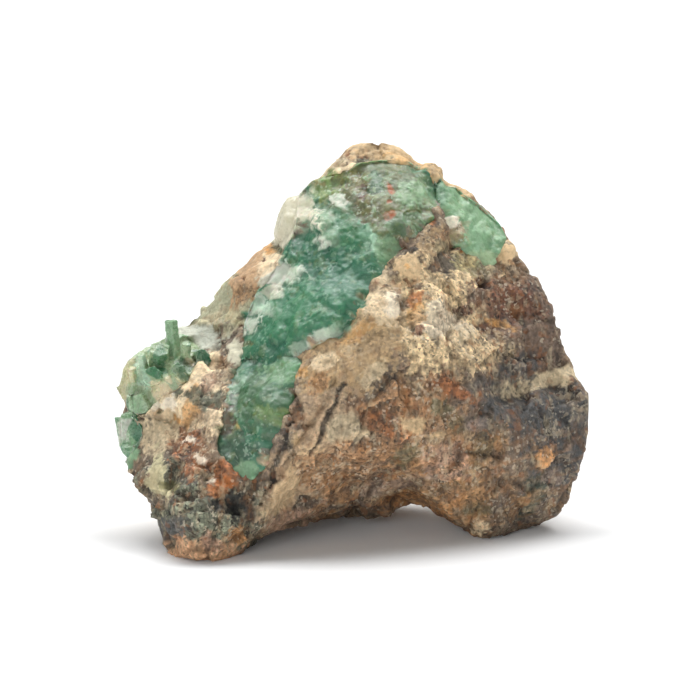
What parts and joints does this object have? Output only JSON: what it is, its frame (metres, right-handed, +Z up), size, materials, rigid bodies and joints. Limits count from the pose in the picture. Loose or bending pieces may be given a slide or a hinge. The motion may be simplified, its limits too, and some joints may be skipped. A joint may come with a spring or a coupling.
{
  "type": "rough emerald specimen",
  "caption": "Broken piece of mica schist and feldspar with a granular green beryl vein, a crust of small green prisms and a wedge of milky quartz.",
  "frame": {"origin": "on the surface that the stone stands on, below the middle of its bounding box", "axes": "+X to the right of the face with the green vein, +Y away from the viewer, to the back of the stone, +Z up"},
  "size_m": [0.0526, 0.0328, 0.0423],
  "materials": {
    "host_rock": "matt broken schist and feldspar, dark to tan",
    "emerald": "granular green beryl, waxy gloss",
    "pale_emerald": "pale green beryl, waxy gloss",
    "milky_quartz": "smooth milky quartz, greasy gloss"
  },
  "bodies": {
    "root": {"host_rock": "host_rock", "emerald_vein": "emerald", "emerald_crest": "pale_emerald", "emerald_crystals": "pale_emerald", "emerald_edge_crystals": "emerald", "quartz_wedge": "milky_quartz"}
  },
  "joints": []
}
